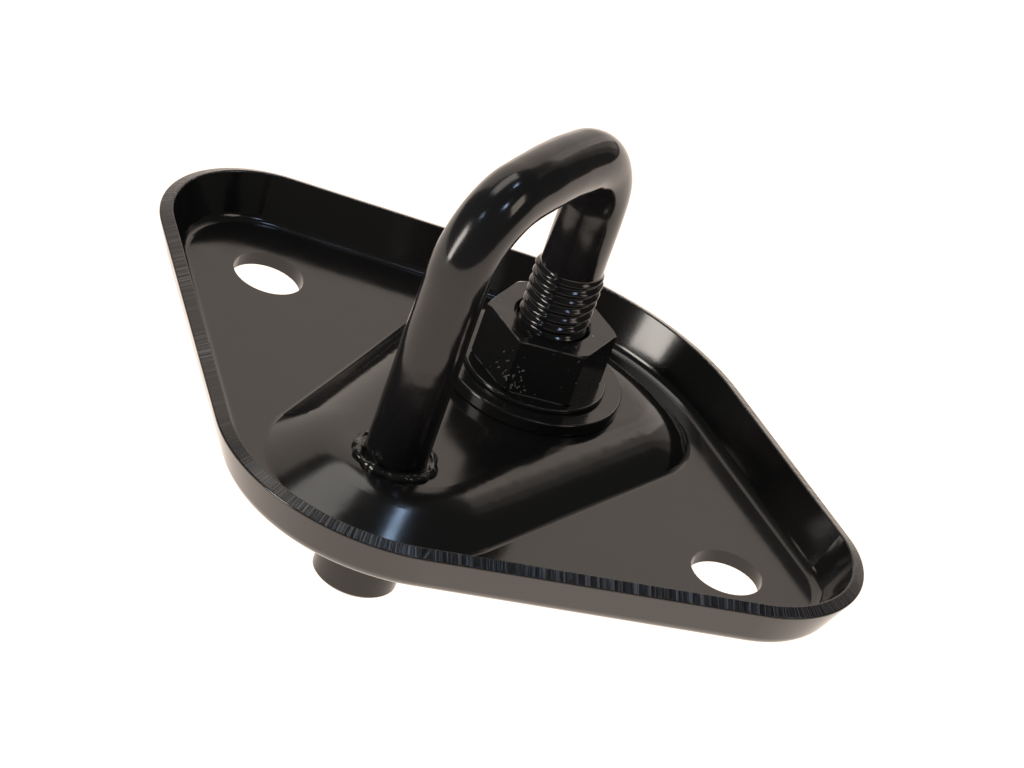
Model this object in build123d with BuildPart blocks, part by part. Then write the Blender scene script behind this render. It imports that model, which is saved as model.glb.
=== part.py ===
"""Adjustable latch striker: a bent-rod loop held by two nuts on a pressed, flanged base plate.

Millimetres. Z = 0 is the underside of the plate, X runs through the two bolt holes, and the
origin is half way between them. The plain leg of the loop is at -Y, the threaded leg at +Y.
"""
from build123d import *
from math import acos, atan2, cos, degrees, hypot, radians, sin, sqrt, tan
import os

# Base plate: a four-cornered tray, pressed from sheet, with a flange that leans outwards
SHEET = 2.0
BOLT_SPACING = 80.0
BOLT_HOLE_R = 5.05
CORNER_X = 69.3
CORNER_Y = 4.2
FRONT_Y = -61.3
BACK_Y = 41.7
SIDE_ROUND = 16.8
FRONT_ROUND = 26.6
BACK_ROUND = 40.4
RIM_TOP = 8.3
FLARE = 25.0
INSIDE_BEND = 1.6
RIM_EDGE_R = 0.25

# Boss: the raised strip between the bolt holes that carries both legs
BOSS_RISE = 4.0
BOSS_SIDE_SLOPE = 45.0
BOSS_CREST_R = 11.5
BOSS_FOOT_R = 1.2
# front round: radius and Y of its centre; back corners: X, Y and radius; Y of the bowed back edge
BOSS_FOOT = (17.8, -24.7, 22.4, 19.0, 12.5, 28.2)
BOSS_TOP = (12.4, -21.0, 18.4, 16.0, 10.5, 24.4)

# Striker loop: one rod, a plain front leg, a slightly crowned bow and a back leg with a rolled thread
ROD_R = 4.4
FRONT_LEG_Y = -26.3
BACK_LEG_Y = 6.7
LOOP_TOP = 46.2
FRONT_BEND_R = 10.9
BACK_BEND_R = 9.6
CROWN_R = 62.0
CROWN_Y = -9.8
THREAD_R = 4.95
THREAD_ROOT_R = 4.12
THREAD_PITCH = 1.5
THREAD_CREST = 0.26
THREAD_TOP = 26.4
THREAD_RUN_OUT = 1.2
FRONT_LEG_END = -12.5
BACK_LEG_END = -16.0
END_CHAMFER = 0.8

# Guide bush, pushed up through the boss to its shoulder and welded round its upper lip
BUSH_R = 5.9
BUSH_LIP_R = 5.2
BUSH_BORE_R = 4.47
BUSH_LIP_ABOVE_BOSS = 0.6
BUSH_END = -13.6
BUSH_CHAMFER = 0.35
WELD_LEG = 0.6

# Nuts and washers on the threaded leg
NUT_FLATS = 16.0
NUT_HEIGHT = 8.2
NUT_TURN = 35.0
NUT_BORE_R = 5.03
NUT_FACE_R = 8.7
LARGE_WASHER_R = 12.6
LARGE_WASHER_THICK = 1.9
SMALL_WASHER_R = 10.1
SMALL_WASHER_THICK = 0.7
WASHER_BORE_R = 5.25
WASHER_EDGE_R = 0.25
LEG_HOLE_R = 5.6

boss_top = SHEET + BOSS_RISE
under_boss = BOSS_RISE
rim_outer = RIM_TOP - SHEET * sin(radians(FLARE))
small_washer_z = boss_top + LARGE_WASHER_THICK
upper_nut_z = small_washer_z + SMALL_WASHER_THICK
lower_washer_z = under_boss - LARGE_WASHER_THICK
lower_nut_z = lower_washer_z - NUT_HEIGHT

os.makedirs("parts", exist_ok=True)


def kite(inset):
    """The plate's rounded four-cornered outline, moved inwards by inset."""
    with BuildSketch(mode=Mode.PRIVATE) as outline:
        with BuildLine():
            Polyline((-CORNER_X, CORNER_Y), (0, FRONT_Y), (CORNER_X, CORNER_Y), (0, BACK_Y), close=True)
        make_face()
        corners = outline.vertices()
        fillet(corners.filter_by(lambda v: abs(v.X) > 1), SIDE_ROUND)
        fillet(outline.vertices().sort_by(Axis.Y)[0], FRONT_ROUND)
        fillet(outline.vertices().sort_by(Axis.Y)[-1], BACK_ROUND)
        if inset:
            offset(amount=-inset)
    return outline.sketch


def flange_inset(height, wall):
    """How far inside the rim's outer edge the leaning wall is at a height, at a depth into the sheet."""
    return (rim_outer - height) * tan(radians(FLARE)) + wall / cos(radians(FLARE))


def boss_outline(size, inset):
    """A level line round the boss: a round front end, sides that spread backwards, a bowed back edge."""
    front_r, front_y, corner_x, corner_y, corner_r, back_y = size
    reach = hypot(corner_x, corner_y - front_y)
    tangent = degrees(atan2(corner_y - front_y, corner_x) - acos(front_r / reach))
    with BuildSketch(mode=Mode.PRIVATE) as outline:
        with BuildLine():
            left = (-corner_x, corner_y)
            right = (corner_x, corner_y)
            front = CenterArc((0, front_y), front_r, 180 - tangent, 180 + 2 * tangent)
            Line(front @ 1, right)
            ThreePointArc(right, (0, back_y), left)
            Line(left, front @ 0)
        make_face()
        fillet(outline.vertices().sort_by(Axis.Y)[-2:], corner_r)
        if inset:
            offset(amount=-inset)
    return outline.sketch


def boss_body(inset, base, crest):
    """A solid under one skin of the boss: steep sides, a gentle front slope and a rounded crest."""
    with BuildPart(mode=Mode.PRIVATE) as body:
        with BuildSketch(Plane.XY.offset(base)):
            add(boss_outline(BOSS_FOOT, inset))
        with BuildSketch(Plane.XY.offset(base + BOSS_RISE)):
            add(boss_outline(BOSS_TOP, inset))
        loft(ruled=True)
        fillet(body.edges().group_by(Axis.Z)[-1], crest)
    return body.part


# Base plate: outer skin, less the inner skin, plus the boss with its hollow underneath
with BuildPart() as base_plate:
    with BuildSketch(Plane.XY):
        add(kite(flange_inset(0, 0)))
    extrude(amount=rim_outer, taper=-FLARE)
    with BuildSketch(Plane.XY.offset(rim_outer)):
        add(kite(0))
    extrude(amount=RIM_TOP - rim_outer, taper=90 - FLARE)
    fillet(base_plate.edges().group_by(Axis.Z)[0], INSIDE_BEND + SHEET)
    with BuildSketch(Plane.XY.offset(SHEET)):
        add(kite(flange_inset(SHEET, SHEET)))
    extrude(amount=RIM_TOP - SHEET + 1, taper=-FLARE, mode=Mode.SUBTRACT)
    floor_edges = base_plate.edges().filter_by_position(Axis.Z, SHEET - 0.01, SHEET + 0.01)
    fillet(floor_edges, INSIDE_BEND)
    fillet(base_plate.edges().group_by(Axis.Z)[-1], RIM_EDGE_R)
    outer_edges = base_plate.edges().filter_by_position(Axis.Z, rim_outer - 0.01, rim_outer + 0.01)
    fillet(outer_edges, RIM_EDGE_R)
    add(boss_body(0, SHEET, BOSS_CREST_R))
    foot_edges = base_plate.edges(Select.LAST).filter_by_position(Axis.Z, SHEET - 0.01, SHEET + 0.01)
    fillet(foot_edges, BOSS_FOOT_R)
    hollow_inset = SHEET * tan(radians(BOSS_SIDE_SLOPE / 2))
    add(boss_body(hollow_inset, 0, BOSS_CREST_R - SHEET), mode=Mode.SUBTRACT)
    hollow_edges = base_plate.edges(Select.LAST).filter_by_position(Axis.Z, -0.01, 0.01)
    fillet(hollow_edges, BOSS_FOOT_R + SHEET)
    with Locations((-BOLT_SPACING / 2, 0, SHEET), (BOLT_SPACING / 2, 0, SHEET)):
        Hole(BOLT_HOLE_R)
    with Locations((0, FRONT_LEG_Y, boss_top)):
        Hole(BUSH_LIP_R)
    with Locations((0, BACK_LEG_Y, boss_top)):
        Hole(LEG_HOLE_R)
base_plate.part.label = "base_plate"
export_step(base_plate.part, "parts/base_plate.step")

# Guide bush: a shouldered sleeve that steadies the front leg, standing out above and below
with BuildPart() as guide_bush:
    with BuildSketch(Plane.XY.offset(BUSH_END)):
        with Locations((0, FRONT_LEG_Y)):
            Circle(BUSH_R)
    extrude(amount=under_boss - BUSH_END)
    with BuildSketch(Plane.XY.offset(under_boss)):
        with Locations((0, FRONT_LEG_Y)):
            Circle(BUSH_LIP_R)
    extrude(amount=SHEET + BUSH_LIP_ABOVE_BOSS)
    chamfer(guide_bush.edges().group_by(Axis.Z)[0], BUSH_CHAMFER)
    with Locations((0, FRONT_LEG_Y, boss_top + BUSH_LIP_ABOVE_BOSS)):
        Hole(BUSH_BORE_R)
guide_bush.part.label = "guide_bush"
export_step(guide_bush.part, "parts/guide_bush.step")

# Weld bead: a fillet ring in the corner between the bush's lip and the boss
with BuildPart() as bush_weld:
    with BuildSketch(Plane.YZ):
        with BuildLine():
            corner = (FRONT_LEG_Y + BUSH_LIP_R, boss_top)
            foot = (corner[0] + WELD_LEG, boss_top)
            head = (corner[0], boss_top + WELD_LEG)
            Line(corner, foot)
            RadiusArc(foot, head, -WELD_LEG)
            Line(head, corner)
        make_face()
    revolve(axis=Axis((0, FRONT_LEG_Y, 0), (0, 0, 1)))
bush_weld.part.label = "bush_weld"
export_step(bush_weld.part, "parts/bush_weld.step")

# Striker loop: three arcs that run into each other make the bow, and both legs hang from it
crown = (CROWN_Y, LOOP_TOP - CROWN_R)
front_bend = FRONT_LEG_Y + FRONT_BEND_R
back_bend = BACK_LEG_Y - BACK_BEND_R
front_bend_z = crown[1] + sqrt((CROWN_R - FRONT_BEND_R) ** 2 - (front_bend - CROWN_Y) ** 2)
back_bend_z = crown[1] + sqrt((CROWN_R - BACK_BEND_R) ** 2 - (back_bend - CROWN_Y) ** 2)
front_turn = degrees(atan2(front_bend_z - crown[1], front_bend - CROWN_Y))
back_turn = degrees(atan2(back_bend_z - crown[1], back_bend - CROWN_Y))

with BuildPart() as striker_loop:
    with BuildLine(Plane.YZ):
        Line((FRONT_LEG_Y, FRONT_LEG_END), (FRONT_LEG_Y, front_bend_z))
        CenterArc((front_bend, front_bend_z), FRONT_BEND_R, 180, front_turn - 180)
        CenterArc(crown, CROWN_R, front_turn, back_turn - front_turn)
        CenterArc((back_bend, back_bend_z), BACK_BEND_R, back_turn, -back_turn)
        Line((BACK_LEG_Y, back_bend_z), (BACK_LEG_Y, THREAD_TOP))
    with BuildSketch(Plane.XY.offset(FRONT_LEG_END)):
        with Locations((0, FRONT_LEG_Y)):
            Circle(ROD_R)
    sweep()
    front_end = striker_loop.edges().filter_by_position(Axis.Z, FRONT_LEG_END - 0.01, FRONT_LEG_END + 0.01)
    chamfer(front_end, END_CHAMFER)
    # the threaded stretch: a root cylinder and one ridge that winds up it
    with BuildSketch(Plane.XY.offset(BACK_LEG_END)):
        with Locations((0, BACK_LEG_Y)):
            Circle(THREAD_ROOT_R)
    extrude(amount=THREAD_TOP - BACK_LEG_END + 0.5)
    ridge_bite = 0.05
    with BuildLine() as winding:
        Helix(
            pitch=THREAD_PITCH,
            height=THREAD_TOP - BACK_LEG_END - THREAD_PITCH,
            radius=THREAD_ROOT_R - ridge_bite,
            center=(0, BACK_LEG_Y, BACK_LEG_END + THREAD_PITCH / 2),
        )
    ridge_start = Plane(origin=winding.line @ 0, x_dir=(1, 0, 0), z_dir=winding.line % 0)
    with BuildSketch(ridge_start):
        with BuildLine():
            crest = THREAD_R - THREAD_ROOT_R + ridge_bite
            flank = THREAD_PITCH / 2 - THREAD_CREST / 2
            Polyline(
                (0, -flank),
                (crest, -THREAD_CREST / 2),
                (crest, THREAD_CREST / 2),
                (0, flank),
                close=True,
            )
        make_face()
    sweep(path=winding.line, is_frenet=True)
    # the thread runs out below the plain rod, and its lower end is bevelled
    with BuildSketch(Plane.YZ):
        with BuildLine():
            shank = BACK_LEG_Y + ROD_R
            clear = BACK_LEG_Y + THREAD_R + 0.5
            run_out = (clear, THREAD_TOP - THREAD_RUN_OUT)
            Polyline((shank, THREAD_TOP), (clear, THREAD_TOP), run_out, close=True)
        make_face()
    revolve(axis=Axis((0, BACK_LEG_Y, 0), (0, 0, 1)), mode=Mode.SUBTRACT)
    with BuildSketch(Plane.YZ):
        with BuildLine():
            rim = BACK_LEG_Y + THREAD_R + 0.5
            bevelled = BACK_LEG_Y + THREAD_ROOT_R - 0.1
            top_of_bevel = BACK_LEG_END + rim - bevelled
            Polyline((bevelled, BACK_LEG_END), (rim, BACK_LEG_END), (rim, top_of_bevel), close=True)
        make_face()
    revolve(axis=Axis((0, BACK_LEG_Y, 0), (0, 0, 1)), mode=Mode.SUBTRACT)
striker_loop.part.label = "striker_loop"
export_step(striker_loop.part, "parts/striker_loop.step")


def washer(radius, thickness, z):
    """A flat washer on the threaded leg's axis."""
    with BuildPart() as ring:
        with BuildSketch(Plane.XY.offset(z)):
            with Locations((0, BACK_LEG_Y)):
                Circle(radius)
                Circle(WASHER_BORE_R, mode=Mode.SUBTRACT)
        extrude(amount=thickness)
        circles = ring.edges().filter_by(GeomType.CIRCLE)
        fillet(circles.group_by(SortBy.RADIUS)[-1], WASHER_EDGE_R)
    return ring.part


def nut(z):
    """A hexagon nut: the prism meets two cones that bevel its corners, and the bore is bevelled too."""
    with BuildPart() as body:
        with BuildSketch(Plane.XY.offset(z)):
            with Locations((0, BACK_LEG_Y)):
                RegularPolygon(NUT_FLATS / 2, 6, major_radius=False, rotation=NUT_TURN)
        extrude(amount=NUT_HEIGHT)
        corner_r = NUT_FLATS / 2 / cos(radians(30))
        bevel = (corner_r - NUT_FACE_R) * tan(radians(30))
        with BuildSketch(Plane.YZ) as profile:
            with BuildLine():
                Polyline(
                    (BACK_LEG_Y, z),
                    (BACK_LEG_Y + NUT_FACE_R, z),
                    (BACK_LEG_Y + corner_r, z + bevel),
                    (BACK_LEG_Y + corner_r, z + NUT_HEIGHT - bevel),
                    (BACK_LEG_Y + NUT_FACE_R, z + NUT_HEIGHT),
                    (BACK_LEG_Y, z + NUT_HEIGHT),
                    close=True,
                )
            make_face()
        revolve(axis=Axis((0, BACK_LEG_Y, 0), (0, 0, 1)), mode=Mode.INTERSECT)
        with Locations((0, BACK_LEG_Y, z + NUT_HEIGHT)):
            Hole(NUT_BORE_R)
        circles = body.edges().filter_by(GeomType.CIRCLE)
        chamfer(circles.group_by(SortBy.RADIUS)[0], 0.5)
    return body.part


# The stack above the boss
large_washer = washer(LARGE_WASHER_R, LARGE_WASHER_THICK, boss_top)
large_washer.label = "large_washer"
export_step(large_washer, "parts/large_washer.step")

small_washer = washer(SMALL_WASHER_R, SMALL_WASHER_THICK, small_washer_z)
small_washer.label = "small_washer"
export_step(small_washer, "parts/small_washer.step")

upper_nut = nut(upper_nut_z)
upper_nut.label = "upper_nut"
export_step(upper_nut, "parts/upper_nut.step")

# The stack under the boss, which clamps the loop from below
lower_washer = washer(LARGE_WASHER_R, LARGE_WASHER_THICK, lower_washer_z)
lower_washer.label = "lower_washer"
export_step(lower_washer, "parts/lower_washer.step")

lower_nut = nut(lower_nut_z)
lower_nut.label = "lower_nut"
export_step(lower_nut, "parts/lower_nut.step")
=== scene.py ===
from math import atan2, cos, degrees, pi, radians, sin, sqrt

import bpy
from mathutils import Matrix, Vector


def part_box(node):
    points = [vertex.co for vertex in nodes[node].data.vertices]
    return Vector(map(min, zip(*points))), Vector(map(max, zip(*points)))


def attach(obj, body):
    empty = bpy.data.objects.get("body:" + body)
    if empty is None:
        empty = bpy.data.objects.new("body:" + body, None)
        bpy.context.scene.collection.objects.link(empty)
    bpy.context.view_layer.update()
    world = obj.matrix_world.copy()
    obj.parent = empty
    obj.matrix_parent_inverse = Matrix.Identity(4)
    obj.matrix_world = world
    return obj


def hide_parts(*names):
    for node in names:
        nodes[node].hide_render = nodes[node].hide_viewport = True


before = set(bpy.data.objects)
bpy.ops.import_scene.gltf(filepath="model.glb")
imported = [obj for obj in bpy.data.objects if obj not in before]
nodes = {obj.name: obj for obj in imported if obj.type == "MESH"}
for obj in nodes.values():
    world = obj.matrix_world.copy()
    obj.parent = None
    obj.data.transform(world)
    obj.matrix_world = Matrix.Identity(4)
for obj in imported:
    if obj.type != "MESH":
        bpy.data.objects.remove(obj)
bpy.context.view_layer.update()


# Base plate: a shallow tray pressed from 2 mm sheet steel, with a raised boss down its middle and a
# flange that leans outwards. The blank was sheared, so its cut edge is scored across, and the
# whole plate was dipped in gloss black paint after the guide bush was welded in.
RIM_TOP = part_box("base_plate")[1].z
RIM_CUT_DROP = 0.00085
SHEAR_SPACING = 0.00085
SHEAR_DEPTH = 7e-5
SHEAR_PATCHES_PER_M = 52.0
RIM_TURN_REACH = 0.03
PLATE_BLACK = (0.010, 0.0095, 0.0095, 1)
# painted highlight: the bluish grey laid in patches on the scored rim, in place of lamp glints on the
# striations
SCORED_HIGHLIGHT_GREY = (0.11, 0.11, 0.13, 1)
NIB_GREY = (0.12, 0.12, 0.12, 1)
PLATE_ROUGHNESS = 0.115


def add_node(tree, kind, inputs=None, **settings):
    """A new node with its settings made and its sockets set to values or linked to other sockets."""
    made = tree.nodes.new(kind)
    for name, value in settings.items():
        setattr(made, name, value)
    for name, value in (inputs or {}).items():
        if isinstance(value, bpy.types.NodeSocket):
            tree.links.new(value, made.inputs[name])
        else:
            made.inputs[name].default_value = value
    return made


def maths(tree, operation, *values):
    """The result of one Math node."""
    sockets = dict(enumerate(values))
    return add_node(tree, "ShaderNodeMath", sockets, operation=operation).outputs[0]


def ramp(tree, value, start, end):
    """A smooth step from 0 at start to 1 at end, which may be the lower of the two."""
    rising = start < end
    span = {"Value": value, "From Min": min(start, end), "From Max": max(start, end)}
    span["To Min"] = 0.0 if rising else 1.0
    span["To Max"] = 1.0 if rising else 0.0
    step = add_node(tree, "ShaderNodeMapRange", span, interpolation_type="SMOOTHSTEP")
    return step.outputs["Result"]


def make_paint_film():
    """Group: how dipped paint lies on steel, as heights in metres and masks for nibs and smears."""
    tree = bpy.data.node_groups.new("paint_film", "ShaderNodeTree")
    sockets = tree.interface
    sockets.new_socket("Point", in_out="INPUT", socket_type="NodeSocketVector")
    usual = {
        "Peel Size": 0.0008, "Peel Depth": 3e-6, "Sag Size": 0.007, "Sag Depth": 3e-5,
        "Nib Spacing": 0.006,
    }
    for name, value in usual.items():
        made = sockets.new_socket(name, in_out="INPUT", socket_type="NodeSocketFloat")
        made.default_value = value
    for name in ("Height", "Nibs", "Smears"):
        sockets.new_socket(name, in_out="OUTPUT", socket_type="NodeSocketFloat")
    given = tree.nodes.new("NodeGroupInput").outputs
    result = tree.nodes.new("NodeGroupOutput").inputs
    point = given["Point"]

    peel_scale = maths(tree, "DIVIDE", 1.0, given["Peel Size"])
    peel = add_node(tree, "ShaderNodeTexNoise", {"Vector": point, "Scale": peel_scale, "Detail": 1.5})
    sag_scale = maths(tree, "DIVIDE", 1.0, given["Sag Size"])
    sag = add_node(tree, "ShaderNodeTexNoise", {"Vector": point, "Scale": sag_scale, "Detail": 1.0})
    peel_height = maths(tree, "MULTIPLY", peel.outputs["Fac"], given["Peel Depth"])
    sag_height = maths(tree, "MULTIPLY", sag.outputs["Fac"], given["Sag Depth"])

    nib_scale = maths(tree, "DIVIDE", 1.0, given["Nib Spacing"])
    nib = add_node(
        tree, "ShaderNodeTexVoronoi", {"Vector": point, "Scale": nib_scale, "Randomness": 1.0}
    )
    pick = add_node(tree, "ShaderNodeSeparateColor", {"Color": nib.outputs["Color"]})
    nib_reach = maths(tree, "MULTIPLY", pick.outputs["Red"], 0.035)
    nib_mask = ramp(tree, maths(tree, "DIVIDE", nib.outputs["Distance"], nib_reach), 1.0, 0.5)
    nib_height = maths(tree, "MULTIPLY", nib_mask, 3e-5)

    smear = add_node(
        tree, "ShaderNodeTexNoise",
        {"Vector": point, "Scale": 95.0, "Detail": 3.0, "Distortion": 0.6},
    )
    tree.links.new(ramp(tree, smear.outputs["Fac"], 0.42, 0.7), result["Smears"])
    tree.links.new(nib_mask, result["Nibs"])
    heights = maths(tree, "ADD", maths(tree, "ADD", peel_height, sag_height), nib_height)
    tree.links.new(heights, result["Height"])
    return tree


paint_film = make_paint_film()


def start_paint(name, colour, gloss, **film_values):
    """A painted material: its tree, its shader, its Object coordinates and its film group node."""
    material = bpy.data.materials.new(name)
    material.use_nodes = True
    tree = material.node_tree
    shader = tree.nodes["Principled BSDF"]
    shader.inputs["Base Color"].default_value = colour
    shader.inputs["Roughness"].default_value = gloss
    point = tree.nodes.new("ShaderNodeTexCoord").outputs["Object"]
    film = tree.nodes.new("ShaderNodeGroup")
    film.node_tree = paint_film
    tree.links.new(point, film.inputs["Point"])
    for socket, value in film_values.items():
        film.inputs[socket.replace("_", " ")].default_value = value
    return material, tree, shader, point, film.outputs


def finish_paint(tree, shader, height, colour=None, roughness=None):
    """Joins a height in metres, and a colour and roughness where they vary, to the shader."""
    relief = add_node(tree, "ShaderNodeBump", {"Height": height, "Distance": 1.0, "Strength": 1.0})
    tree.links.new(relief.outputs["Normal"], shader.inputs["Normal"])
    if colour:
        tree.links.new(colour, shader.inputs["Base Color"])
    if roughness:
        tree.links.new(roughness, shader.inputs["Roughness"])


def blend_colour(tree, mask, under, over):
    """One colour over another where the mask is 1."""
    mix = add_node(tree, "ShaderNodeMix", {0: mask}, data_type="RGBA")
    colours = [socket for socket in mix.inputs if socket.type == "RGBA"]
    for socket, value in zip(colours, (under, over)):
        if isinstance(value, bpy.types.NodeSocket):
            tree.links.new(value, socket)
        else:
            socket.default_value = value
    return [socket for socket in mix.outputs if socket.type == "RGBA"][0]


def coat(names, paint):
    """Gives one paint to each of these pieces."""
    for name in names:
        nodes[name].data.materials.clear()
        nodes[name].data.materials.append(paint)


plate_paint, tree, shader, point, film = start_paint(
    "plate_paint", PLATE_BLACK, 0.16, Peel_Depth=2.5e-6, Sag_Depth=2.5e-5
)
place = add_node(tree, "ShaderNodeSeparateXYZ", {"Vector": point}).outputs
facing = tree.nodes.new("ShaderNodeNewGeometry").outputs["Normal"]
lean = add_node(tree, "ShaderNodeSeparateXYZ", {"Vector": facing}).outputs
near_top = ramp(tree, place["Z"], RIM_TOP - 1.3 * RIM_CUT_DROP, RIM_TOP - 1.15 * RIM_CUT_DROP)
rim_mask = maths(tree, "MULTIPLY", near_top, ramp(tree, lean["Z"], 0.6, 0.8))
# distance along the rim: the point measured along the edge's own direction, plus a share of its turn
turn = maths(tree, "ARCTAN2", lean["Y"], lean["X"])
outward_x = maths(tree, "COSINE", turn)
outward_y = maths(tree, "SINE", turn)
along = maths(
    tree, "SUBTRACT", maths(tree, "MULTIPLY", place["Y"], outward_x),
    maths(tree, "MULTIPLY", place["X"], outward_y),
)
along = maths(tree, "SUBTRACT", along, maths(tree, "MULTIPLY", turn, RIM_TURN_REACH))
scores = add_node(
    tree, "ShaderNodeTexNoise",
    {"W": along, "Scale": 1 / SHEAR_SPACING, "Detail": 2.5, "Roughness": 0.6}, noise_dimensions="1D",
)
patches = add_node(
    tree, "ShaderNodeTexNoise", {"Vector": point, "Scale": SHEAR_PATCHES_PER_M, "Detail": 1.0}
)
score_depth = maths(tree, "MULTIPLY", ramp(tree, scores.outputs["Fac"], 0.35, 0.65), SHEAR_DEPTH)
patch = maths(tree, "MULTIPLY_ADD", ramp(tree, patches.outputs["Fac"], 0.47, 0.6), 0.85, 0.15)
score_depth = maths(tree, "MULTIPLY", score_depth, patch)
height = maths(tree, "ADD", film["Height"], maths(tree, "MULTIPLY", score_depth, rim_mask))
rim_patch = maths(tree, "MULTIPLY", rim_mask, patch)
# painted highlight: in patches along the scores the rim turns a lighter bluish grey, standing in for
# the cool lamps' glints on the striations (the scores themselves are bumps)
rim_painted_highlight = maths(tree, "MULTIPLY", rim_patch, ramp(tree, scores.outputs["Fac"], 0.5, 0.66))
colour = blend_colour(tree, maths(tree, "MULTIPLY", rim_painted_highlight, 0.8), PLATE_BLACK, SCORED_HIGHLIGHT_GREY)
colour = blend_colour(tree, maths(tree, "MULTIPLY", film["Nibs"], 0.6), colour, NIB_GREY)
smeared = maths(tree, "MULTIPLY", film["Smears"], 0.045)
roughness = maths(tree, "ADD", PLATE_ROUGHNESS, smeared)
roughness = maths(tree, "ADD", roughness, maths(tree, "MULTIPLY", rim_mask, 0.1))
finish_paint(tree, shader, height, colour, roughness)
coat(["base_plate"], plate_paint)


# Guide bush: a steel sleeve turned from bar and pushed through the boss, where it steadies the plain
# leg. Its lower end stands out under the plate, and fine turning marks still show through the paint.
BUSH_BLACK = (0.013, 0.012, 0.011, 1)
TURNING_MARKS_PER_M = 2600.0
TURNING_DEPTH = 1.2e-5
LIP_LUMPS_PER_M = 1100.0
LIP_LUMP_DEPTH = 2e-4

bush_paint, tree, shader, point, film = start_paint(
    "bush_paint", BUSH_BLACK, 0.2, Peel_Depth=2e-6, Sag_Depth=1e-5
)
place = add_node(tree, "ShaderNodeSeparateXYZ", {"Vector": point}).outputs
turning = add_node(
    tree, "ShaderNodeTexNoise", {"W": place["Z"], "Scale": TURNING_MARKS_PER_M, "Detail": 2.0},
    noise_dimensions="1D",
)
marks = maths(tree, "MULTIPLY", turning.outputs["Fac"], TURNING_DEPTH)
height = maths(tree, "ADD", film["Height"], marks)
lumps = add_node(
    tree, "ShaderNodeTexNoise", {"Vector": point, "Scale": LIP_LUMPS_PER_M, "Detail": 1.0}
)
on_lip = ramp(tree, place["Z"], 0.004, 0.006)
lip_lumps = maths(tree, "MULTIPLY", lumps.outputs["Fac"], on_lip)
height = maths(tree, "ADD", height, maths(tree, "MULTIPLY", lip_lumps, LIP_LUMP_DEPTH))
roughness = maths(tree, "ADD", 0.17, maths(tree, "MULTIPLY", film["Smears"], 0.1))
finish_paint(tree, shader, height, roughness=roughness)
coat(["guide_bush"], bush_paint)


# Weld bead: the bush was welded to the boss round its upper lip, and the bead and the spatter by it
# were painted over, so it is a low ring of uneven, rounded lumps that paint has softened.
WELD_BLACK = (0.010, 0.010, 0.010, 1)
WELD_RING_R = 0.0053
WELD_BEAD_R = 0.0007
WELD_LUMP = 0.0012
WELD_LUMP_SIZE = 0.0023
WELD_LIFT = 0.0001
WELD_SEED = 4.0

weld_paint, tree, shader, point, film = start_paint(
    "weld_paint", WELD_BLACK, 0.16, Peel_Depth=4e-6, Sag_Size=0.0011, Sag_Depth=2e-4
)
finish_paint(tree, shader, film["Height"])


def start_tree(name, kinds):
    """A geometry node tree and its inputs: kinds gives the sockets' names for each kind of value."""
    tree = bpy.data.node_groups.new(name, "GeometryNodeTree")
    tree.interface.new_socket("Geometry", in_out="OUTPUT", socket_type="NodeSocketGeometry")
    for kind, names in kinds.items():
        for socket in names:
            tree.interface.new_socket(socket, in_out="INPUT", socket_type="NodeSocket" + kind)
    return tree, tree.nodes.new("NodeGroupInput").outputs


def circle(tree, sides, radius):
    """A circle to sweep along, or round, a path."""
    return add_node(
        tree, "GeometryNodeCurvePrimitiveCircle", {"Resolution": sides, "Radius": radius}
    ).outputs["Curve"]


def push_out(tree, mesh, distance, chosen=True):
    """Moves each chosen point along its normal."""
    normal = tree.nodes.new("GeometryNodeInputNormal").outputs[0]
    push = add_node(tree, "ShaderNodeVectorMath", {0: normal, "Scale": distance}, operation="SCALE")
    moved = {"Geometry": mesh, "Selection": chosen, "Offset": push.outputs[0]}
    return add_node(tree, "GeometryNodeSetPosition", moved).outputs["Geometry"]


def finish_tree(tree, shape, paint):
    """Shades the shape smooth, makes it real, paints it and joins it to the tree's output."""
    smooth = add_node(tree, "GeometryNodeSetShadeSmooth", {"Geometry": shape})
    realized = add_node(
        tree, "GeometryNodeRealizeInstances", {"Geometry": smooth.outputs["Geometry"]}
    )
    painted = add_node(
        tree, "GeometryNodeSetMaterial",
        {"Geometry": realized.outputs["Geometry"], "Material": paint},
    )
    out = tree.nodes.new("NodeGroupOutput")
    tree.links.new(painted.outputs["Geometry"], out.inputs["Geometry"])
    return tree


def make_weld_tree():
    """Geometry nodes: a bead swept round a ring and pushed in and out into lumps."""
    tree, given = start_tree("weld_bead", {
        "Float": ("Ring Radius", "Bead Radius", "Lump Height", "Lump Size", "Seed"),
        "Vector": ("Centre",),
        "Material": ("Paint",),
    })
    ring = circle(tree, 160, given["Ring Radius"])
    bead = circle(tree, 24, given["Bead Radius"])
    swept = add_node(tree, "GeometryNodeCurveToMesh", {"Curve": ring, "Profile Curve": bead})
    lump_scale = maths(tree, "DIVIDE", 1.0, given["Lump Size"])
    lumps = add_node(
        tree, "ShaderNodeTexNoise", {"W": given["Seed"], "Scale": lump_scale, "Detail": 1.0},
        noise_dimensions="4D",
    )
    centred = maths(tree, "SUBTRACT", lumps.outputs["Fac"], 0.5)
    lift = maths(tree, "MULTIPLY", centred, given["Lump Height"])
    lumpy = push_out(tree, swept.outputs["Mesh"], lift)
    placed = add_node(
        tree, "GeometryNodeTransform", {"Geometry": lumpy, "Translation": given["Centre"]}
    )
    return finish_tree(tree, placed.outputs["Geometry"], given["Paint"])


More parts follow.
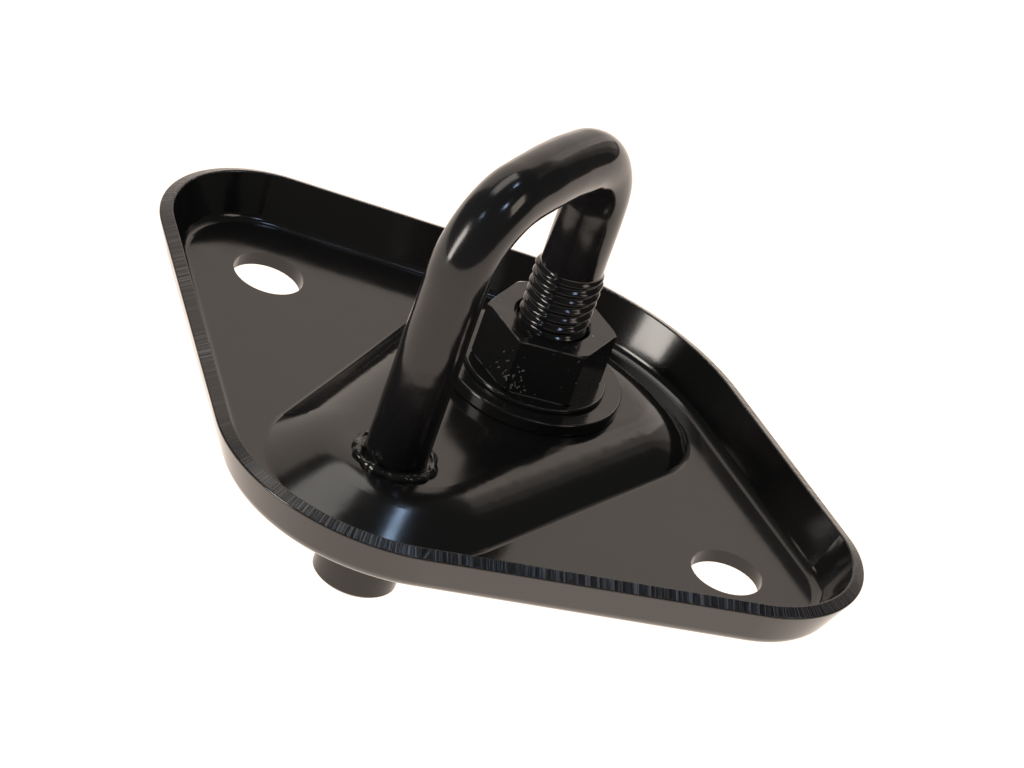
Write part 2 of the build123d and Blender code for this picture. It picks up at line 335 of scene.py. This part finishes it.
def grow(name, tree, values, start=None):
    """Runs a geometry node tree with these inputs and returns its result as a plain mesh object."""
    seed_object = bpy.data.objects.new(name + "_seed", start or bpy.data.meshes.new(name + "_seed"))
    bpy.context.scene.collection.objects.link(seed_object)
    modifier = seed_object.modifiers.new(name, "NODES")
    modifier.node_group = tree
    for item in tree.interface.items_tree:
        if item.in_out == "INPUT" and item.name in values:
            modifier[item.identifier] = values[item.name]
    evaluated = seed_object.evaluated_get(bpy.context.evaluated_depsgraph_get())
    mesh = bpy.data.meshes.new_from_object(evaluated)
    mesh.name = name
    bpy.data.objects.remove(seed_object)
    grown = bpy.data.objects.new(name, mesh)
    bpy.context.scene.collection.objects.link(grown)
    return grown


weld_low, weld_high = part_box("bush_weld")
weld_centre = (weld_low + weld_high) / 2
weld_bead = grow("weld_bead", make_weld_tree(), {
    "Ring Radius": WELD_RING_R,
    "Bead Radius": WELD_BEAD_R,
    "Lump Height": WELD_LUMP,
    "Lump Size": WELD_LUMP_SIZE,
    "Seed": WELD_SEED,
    "Centre": (weld_centre.x, weld_centre.y, weld_low.z + WELD_LIFT),
    "Paint": weld_paint,
})
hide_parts("bush_weld")
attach(weld_bead, "plate")


# Striker loop: one steel rod, bent cold into a bow with two legs. It carries faint dents from bending,
# the back leg has a rolled thread, and the paint lies thick and rounded in the thread's grooves.
ROD_BLACK = (0.009, 0.009, 0.010, 1)
ROD_NIB_GREY = (0.1, 0.1, 0.11, 1)
ROD_R = 0.0044
FRONT_BEND_R = 0.0109
BACK_BEND_R = 0.0096
CROWN_R = 0.062
CROWN_Y = -0.0098
THREAD_PITCH = 0.0015
THREAD_CREST_R = 0.00493
THREAD_GROOVE_R = 0.00432
THREAD_TOP = 0.0262
THREAD_FADE = 0.0012
PAINT_DRIPS_PER_M = 700.0
DENT_DEPTH = 0.0002
DENT_SIZE = 0.007
RING_STEP = 0.00014
END_BEVEL = 0.0008
LEG_INSIDE_BUSH = 0.0011
nut_low, nut_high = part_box("upper_nut")
leg_axis = (nut_low + nut_high) / 2
loop_low, loop_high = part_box("striker_loop")
crown_top = loop_high.z - ROD_R

rod_paint, tree, shader, point, film = start_paint(
    "rod_paint", ROD_BLACK, 0.14, Peel_Size=0.001, Peel_Depth=5e-6, Sag_Size=0.004, Sag_Depth=4e-5
)
colour = blend_colour(tree, maths(tree, "MULTIPLY", film["Nibs"], 0.5), ROD_BLACK, ROD_NIB_GREY)
roughness = maths(tree, "ADD", 0.11, maths(tree, "MULTIPLY", film["Smears"], 0.08))
finish_paint(tree, shader, film["Height"], colour, roughness)


def make_rod_tree():
    """Geometry nodes: a rod along a centre line, a thread rolled on its last leg, bevelled ends."""
    tree, given = start_tree("threaded_rod", {
        "Geometry": ("Centre Line",),
        "Float": (
            "Rod Radius", "Crest Radius", "Groove Radius", "Pitch", "Thread Top", "Thread Fade",
            "Thread Leg", "Front End", "Back End", "End Bevel", "Dent Depth", "Dent Size", "Step",
        ),
        "Material": ("Paint",),
    })
    curve = add_node(tree, "GeometryNodeMeshToCurve", {"Mesh": given["Centre Line"]})
    even = add_node(
        tree, "GeometryNodeResampleCurve",
        {"Curve": curve.outputs["Curve"], "Length": given["Step"]}, mode="LENGTH",
    )
    section = circle(tree, 72, given["Rod Radius"])
    rod = add_node(
        tree, "GeometryNodeCurveToMesh",
        {"Curve": even.outputs["Curve"], "Profile Curve": section, "Fill Caps": True},
    )
    position = tree.nodes.new("GeometryNodeInputPosition").outputs[0]
    place = add_node(tree, "ShaderNodeSeparateXYZ", {0: position}).outputs
    from_leg = maths(tree, "SUBTRACT", place["Y"], given["Thread Leg"])
    leg_start = maths(tree, "SUBTRACT", given["Thread Leg"], 0.007)
    on_leg = maths(tree, "GREATER_THAN", place["Y"], leg_start)

    # the thread's wave, highest at the crests, as the height climbs one pitch for each turn
    turns = maths(tree, "DIVIDE", maths(tree, "ARCTAN2", from_leg, place["X"]), 2 * pi)
    climbs = maths(tree, "DIVIDE", place["Z"], given["Pitch"])
    phase = maths(tree, "MULTIPLY", maths(tree, "SUBTRACT", climbs, turns), 2 * pi)
    wave = maths(tree, "MULTIPLY_ADD", maths(tree, "COSINE", phase), 0.5, 0.5)
    drips = add_node(
        tree, "ShaderNodeTexNoise",
        {"Vector": position, "Scale": PAINT_DRIPS_PER_M, "Detail": 1.0},
    )
    wave = maths(tree, "ADD", wave, maths(tree, "MULTIPLY_ADD", drips.outputs["Fac"], 0.36, -0.18))
    depth = maths(tree, "SUBTRACT", given["Crest Radius"], given["Groove Radius"])
    groove = maths(tree, "SUBTRACT", given["Groove Radius"], given["Rod Radius"])
    ridge = maths(tree, "MULTIPLY_ADD", wave, depth, groove)
    fade_start = maths(tree, "SUBTRACT", given["Thread Top"], given["Thread Fade"])
    fade = add_node(
        tree, "ShaderNodeMapRange",
        {
            "Value": place["Z"], "From Min": fade_start, "From Max": given["Thread Top"],
            "To Min": 1.0, "To Max": 0.0,
        },
        interpolation_type="SMOOTHSTEP",
    ).outputs["Result"]
    ridge = maths(tree, "MULTIPLY", ridge, maths(tree, "MULTIPLY", fade, on_leg))

    # shallow dents and flats left by the bending tool, and bevels that shrink towards both ends
    dent_scale = maths(tree, "DIVIDE", 1.0, given["Dent Size"])
    dents = add_node(
        tree, "ShaderNodeTexNoise", {"Vector": position, "Scale": dent_scale, "Detail": 1.0}
    )
    centred = maths(tree, "SUBTRACT", dents.outputs["Fac"], 0.5)
    dent = maths(tree, "MULTIPLY", centred, given["Dent Depth"])
    end = add_node(
        tree, "GeometryNodeSwitch",
        {"Switch": on_leg, "False": given["Front End"], "True": given["Back End"]},
        input_type="FLOAT",
    )
    above_end = maths(tree, "SUBTRACT", place["Z"], end.outputs[0])
    bevel = maths(tree, "MAXIMUM", maths(tree, "SUBTRACT", given["End Bevel"], above_end), 0.0)
    ridge = maths(tree, "SUBTRACT", maths(tree, "ADD", ridge, dent), bevel)
    normal = tree.nodes.new("GeometryNodeInputNormal").outputs[0]
    upward = add_node(tree, "ShaderNodeSeparateXYZ", {0: normal}).outputs["Z"]
    is_end = maths(tree, "LESS_THAN", upward, -0.9)
    keep = add_node(tree, "FunctionNodeBooleanMath", {0: is_end}, operation="NOT")
    shaped = push_out(tree, rod.outputs["Mesh"], ridge, keep.outputs[0])
    return finish_tree(tree, shaped, given["Paint"])


def arc(centre_y, centre_z, radius, start, end, steps):
    """Points on an arc in the plane x = 0, with its angles in degrees from +Y."""
    angles = [radians(start + (end - start) * step / steps) for step in range(steps + 1)]
    return [(0, centre_y + radius * cos(angle), centre_z + radius * sin(angle)) for angle in angles]


# the bow's centre line: two bends joined by one long, slightly crowned arc that runs into both
front_leg_y = loop_low.y + ROD_R
crown_z = crown_top - CROWN_R
front_bend_y = front_leg_y + FRONT_BEND_R
back_bend_y = leg_axis.y - BACK_BEND_R
front_bend_z = crown_z + sqrt((CROWN_R - FRONT_BEND_R) ** 2 - (front_bend_y - CROWN_Y) ** 2)
back_bend_z = crown_z + sqrt((CROWN_R - BACK_BEND_R) ** 2 - (back_bend_y - CROWN_Y) ** 2)
front_meet = degrees(atan2(front_bend_z - crown_z, front_bend_y - CROWN_Y))
back_meet = degrees(atan2(back_bend_z - crown_z, back_bend_y - CROWN_Y))
front_end_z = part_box("guide_bush")[0].z + LEG_INSIDE_BUSH
line_points = [(0, front_leg_y, front_end_z)]
line_points += arc(front_bend_y, front_bend_z, FRONT_BEND_R, 180, front_meet, 48)
line_points += arc(CROWN_Y, crown_z, CROWN_R, front_meet, back_meet, 24)[1:]
line_points += arc(back_bend_y, back_bend_z, BACK_BEND_R, back_meet, 0, 48)[1:]
line_points.append((0, leg_axis.y, loop_low.z))
centre_line = bpy.data.meshes.new("centre_line")
centre_line.from_pydata(line_points, [(i, i + 1) for i in range(len(line_points) - 1)], [])

rod = grow("bent_rod", make_rod_tree(), {
    "Rod Radius": ROD_R,
    "Crest Radius": THREAD_CREST_R,
    "Groove Radius": THREAD_GROOVE_R,
    "Pitch": THREAD_PITCH,
    "Thread Top": THREAD_TOP,
    "Thread Fade": THREAD_FADE,
    "Thread Leg": leg_axis.y,
    "Front End": front_end_z,
    "Back End": loop_low.z,
    "End Bevel": END_BEVEL,
    "Dent Depth": DENT_DEPTH,
    "Dent Size": DENT_SIZE,
    "Step": RING_STEP,
    "Paint": rod_paint,
}, centre_line)
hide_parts("striker_loop")
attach(rod, "loop")


# Washers: three flat steel washers, stamped from sheet and painted. Two lie under the upper nut and
# one under the boss, and the nuts have dragged faint rings into their faces.
WASHER_BLACK = (0.010, 0.010, 0.010, 1)
RINGS_PER_M = 2200.0
RING_DEPTH = 1e-5

washer_paint, tree, shader, point, film = start_paint(
    "washer_paint", WASHER_BLACK, 0.15, Peel_Depth=3e-6, Sag_Size=0.005, Sag_Depth=3e-5
)
centred = add_node(
    tree, "ShaderNodeMapping", {"Vector": point, "Location": (-leg_axis.x, -leg_axis.y, 0)}
).outputs[0]
flat = add_node(tree, "ShaderNodeVectorMath", {0: centred, 1: (1, 1, 0)}, operation="MULTIPLY")
distance = add_node(tree, "ShaderNodeVectorMath", {0: flat.outputs[0]}, operation="LENGTH")
rings = add_node(
    tree, "ShaderNodeTexNoise",
    {"W": distance.outputs["Value"], "Scale": RINGS_PER_M, "Detail": 2.0}, noise_dimensions="1D",
)
ring_height = maths(tree, "MULTIPLY", rings.outputs["Fac"], RING_DEPTH)
height = maths(tree, "ADD", film["Height"], ring_height)
roughness = maths(tree, "ADD", 0.14, maths(tree, "MULTIPLY", film["Smears"], 0.08))
finish_paint(tree, shader, height, roughness=roughness)
coat(["large_washer", "small_washer", "lower_washer"], washer_paint)


# Nuts: two hexagon nuts that clamp the threaded leg to the boss from above and below. A spanner has
# slipped on one corner low down by the washer, where steel shows. The edges are lighter grey: the
# paint is thin there, and the grey is also a painted highlight.
NUT_BLACK = (0.010, 0.010, 0.0105, 1)
BARE_STEEL = (0.42, 0.41, 0.40, 1)
# partly thin paint and partly a painted highlight: the lighter grey laid along the nuts' edges
THIN_PAINT_AND_HIGHLIGHT = (0.16, 0.155, 0.15, 1)
NUT_HALF_FLATS = 0.008
SCUFF_CORNER = -85
SCUFF_REACH = 0.0052
SCUFF_HEIGHT = 0.0015
SCRATCH_STRETCH = 20.0
SCRATCHES_PER_M = 2000.0
PATCHES_PER_M = 300.0
SCRATCH_DEPTH = 2e-5
EDGE_OUTER = 0.00008
EDGE_INNER = 0.00022

nut_paint, tree, shader, point, film = start_paint(
    "nut_paint", NUT_BLACK, 0.15, Peel_Depth=5e-6, Sag_Size=0.004, Sag_Depth=6e-5
)
# the corner that the spanner slipped on: scratches crowd round it and thin out away from it
corner_r = NUT_HALF_FLATS / cos(radians(30))
corner_heading = Vector((cos(radians(SCUFF_CORNER)), sin(radians(SCUFF_CORNER)), 0))
corner_point = leg_axis + corner_heading * corner_r
corner_point.z = nut_low.z + SCUFF_HEIGHT
away = add_node(tree, "ShaderNodeVectorMath", {0: point, 1: corner_point}, operation="DISTANCE")
near = ramp(tree, away.outputs["Value"], SCUFF_REACH, 0.0008)
slanted = add_node(
    tree, "ShaderNodeMapping",
    {"Vector": point, "Rotation": (0.5, 0.6, 0.0), "Scale": (1.0, 1.0, SCRATCH_STRETCH)},
    vector_type="TEXTURE",
)
scratches = add_node(
    tree, "ShaderNodeTexNoise",
    {"Vector": slanted.outputs[0], "Scale": SCRATCHES_PER_M, "Detail": 1.0, "Roughness": 0.5},
)
patchy = add_node(
    tree, "ShaderNodeTexNoise", {"Vector": point, "Scale": PATCHES_PER_M, "Detail": 1.0}
)
scratch_limit = maths(tree, "MULTIPLY_ADD", near, -0.16, 0.76)
scratched = maths(tree, "GREATER_THAN", scratches.outputs["Fac"], scratch_limit)
scratched = maths(tree, "MULTIPLY", scratched, ramp(tree, patchy.outputs["Fac"], 0.4, 0.5))
# the edges of the hexagon, within a hair of both a side and an end: lighter in patches, partly thin
# paint and partly a painted highlight where rounded edges would catch light
middle = add_node(
    tree, "ShaderNodeVectorMath", {0: point, 1: leg_axis}, operation="SUBTRACT"
).outputs[0]
reach = 0.0
for side in range(3):
    angle = radians(SCUFF_CORNER + 30 + 60 * side)
    across = add_node(
        tree, "ShaderNodeVectorMath", {0: middle, 1: (cos(angle), sin(angle), 0)},
        operation="DOT_PRODUCT",
    ).outputs["Value"]
    reach = maths(tree, "MAXIMUM", maths(tree, "ABSOLUTE", across), reach)
half_height = (nut_high.z - nut_low.z) / 2
depth = add_node(tree, "ShaderNodeSeparateXYZ", {0: middle}).outputs["Z"]
at_side = ramp(tree, reach, NUT_HALF_FLATS - EDGE_INNER, NUT_HALF_FLATS - EDGE_OUTER)
from_middle = maths(tree, "ABSOLUTE", depth)
at_end = ramp(tree, from_middle, half_height - EDGE_INNER, half_height - EDGE_OUTER)
on_edge = maths(tree, "MULTIPLY", at_side, at_end)
# painted highlight with thin paint: the edge lines are lightened in patches
thin_paint_and_edge_highlight = maths(tree, "MULTIPLY", on_edge, ramp(tree, patchy.outputs["Fac"], 0.35, 0.55))
colour = blend_colour(tree, maths(tree, "MULTIPLY", thin_paint_and_edge_highlight, 0.5), NUT_BLACK, THIN_PAINT_AND_HIGHLIGHT)
colour = blend_colour(tree, scratched, colour, BARE_STEEL)
scratch_drop = maths(tree, "MULTIPLY", scratched, SCRATCH_DEPTH)
height = maths(tree, "SUBTRACT", film["Height"], scratch_drop)
roughness = maths(tree, "MULTIPLY_ADD", film["Smears"], 0.1, 0.13)
roughness = maths(tree, "MULTIPLY_ADD", scratched, 0.25, roughness)
tree.links.new(maths(tree, "MULTIPLY", scratched, 0.9), shader.inputs["Metallic"])
finish_paint(tree, shader, height, colour, roughness)
coat(["upper_nut", "lower_nut"], nut_paint)


# Floor: a bright white table that the striker's lowest end rests on, lit evenly enough that it throws
# no shadow.
FLOOR_GLOW = (1.35, 1.16, 1.02, 1)
FLOOR_SIZE = 6
FLOOR_GAP = 0.0005
bpy.ops.mesh.primitive_plane_add(size=FLOOR_SIZE, location=(0, 0, loop_low.z - FLOOR_GAP))
floor = bpy.context.object
floor.name = "floor"
white = bpy.data.materials.new("white_table")
white.use_nodes = True
table = white.node_tree.nodes["Principled BSDF"]
table.inputs["Base Color"].default_value = (0.02, 0.02, 0.02, 1)
table.inputs["Roughness"].default_value = 0.95
table.inputs["Specular IOR Level"].default_value = 0.0
table.inputs["Emission Color"].default_value = FLOOR_GLOW
table.inputs["Emission Strength"].default_value = 1.0
floor.data.materials.append(white)


# Light: a wide warm card behind the striker, faded at one edge, which its flat faces mirror, warm
# lamps to its left and right, and small cool lamps above it for the glints. The rest is near black.
LAMP_DISTANCE = 1.5
ROOM_GLOW = (0.09, 0.088, 0.082, 1)


def softbox(name, direction, size, radiance, colour):
    """An area light that faces the striker from a direction, as bright to look at as radiance says."""
    light = bpy.data.lights.new(name, "AREA")
    light.shape = "RECTANGLE"
    light.size, light.size_y = size
    light.energy = radiance * pi * size[0] * size[1]
    light.color = colour
    lamp = bpy.data.objects.new(name, light)
    bpy.context.scene.collection.objects.link(lamp)
    lamp.location = Vector(direction).normalized() * LAMP_DISTANCE
    lamp.rotation_euler = (-lamp.location).to_track_quat("-Z", "Y").to_euler()


def heading(azimuth, elevation):
    """A direction from the striker: azimuth clockwise from +Y seen from above, both in degrees."""
    flat = cos(radians(elevation))
    return (sin(radians(azimuth)) * flat, cos(radians(azimuth)) * flat, sin(radians(elevation)))


softbox("back_card", heading(-38, 25), (2.0, 1.35), 0.95, (1.0, 0.87, 0.77))
softbox("back_card_fade", heading(-2, 26), (0.62, 1.2), 0.3, (1.0, 0.87, 0.77))
softbox("back_card_edge", heading(8, 26), (0.62, 1.2), 0.22, (1.0, 0.87, 0.77))
softbox("front_left_lamp", heading(-148.5, 18), (0.36, 0.85), 13.0, (1.0, 0.94, 0.86))
softbox("left_card", heading(-68, 62), (0.75, 0.5), 2.6, (1.0, 0.95, 0.9))
softbox("right_lamp", heading(80, 42), (0.36, 0.5), 3.0, (1.0, 0.88, 0.76))
softbox("cool_lamp_above", heading(6, 81), (0.08, 0.14), 17.0, (0.5, 0.7, 1.0))
softbox("cool_lamp_front", heading(-162, 54), (0.14, 0.14), 8.0, (0.6, 0.78, 1.0))
softbox("cool_lamp_right", heading(108, 63), (0.14, 0.14), 14.0, (0.55, 0.68, 1.0))

world = bpy.data.worlds.new("dark_studio")
bpy.context.scene.world = world
world.use_nodes = True
world.node_tree.nodes["Background"].inputs["Color"].default_value = ROOM_GLOW


# Camera: a long lens above the front right of the plate, turned a little on its own axis.
AZIMUTH, ELEVATION, ROLL = radians(24.59), radians(31.09), radians(19.73)
DISTANCE = 1.0603
AIM = Vector((-0.00397, 0.00999, 0.002))
LENS = 270.35
back = Vector((sin(AZIMUTH) * cos(ELEVATION), -cos(AZIMUTH) * cos(ELEVATION), sin(ELEVATION)))
right = Vector((cos(AZIMUTH), sin(AZIMUTH), 0))
up = back.cross(right)
turned_right = cos(ROLL) * right + sin(ROLL) * up
turned_up = cos(ROLL) * up - sin(ROLL) * right
camera_data = bpy.data.cameras.new("camera")
camera_data.lens = LENS
camera_data.clip_end = 20
camera = bpy.data.objects.new("camera", camera_data)
bpy.context.scene.collection.objects.link(camera)
axes = Matrix((turned_right, turned_up, back)).transposed().to_4x4()
camera.matrix_world = Matrix.Translation(AIM + back * DISTANCE) @ axes
bpy.context.scene.camera = camera
bpy.context.scene.view_settings.view_transform = "Standard"
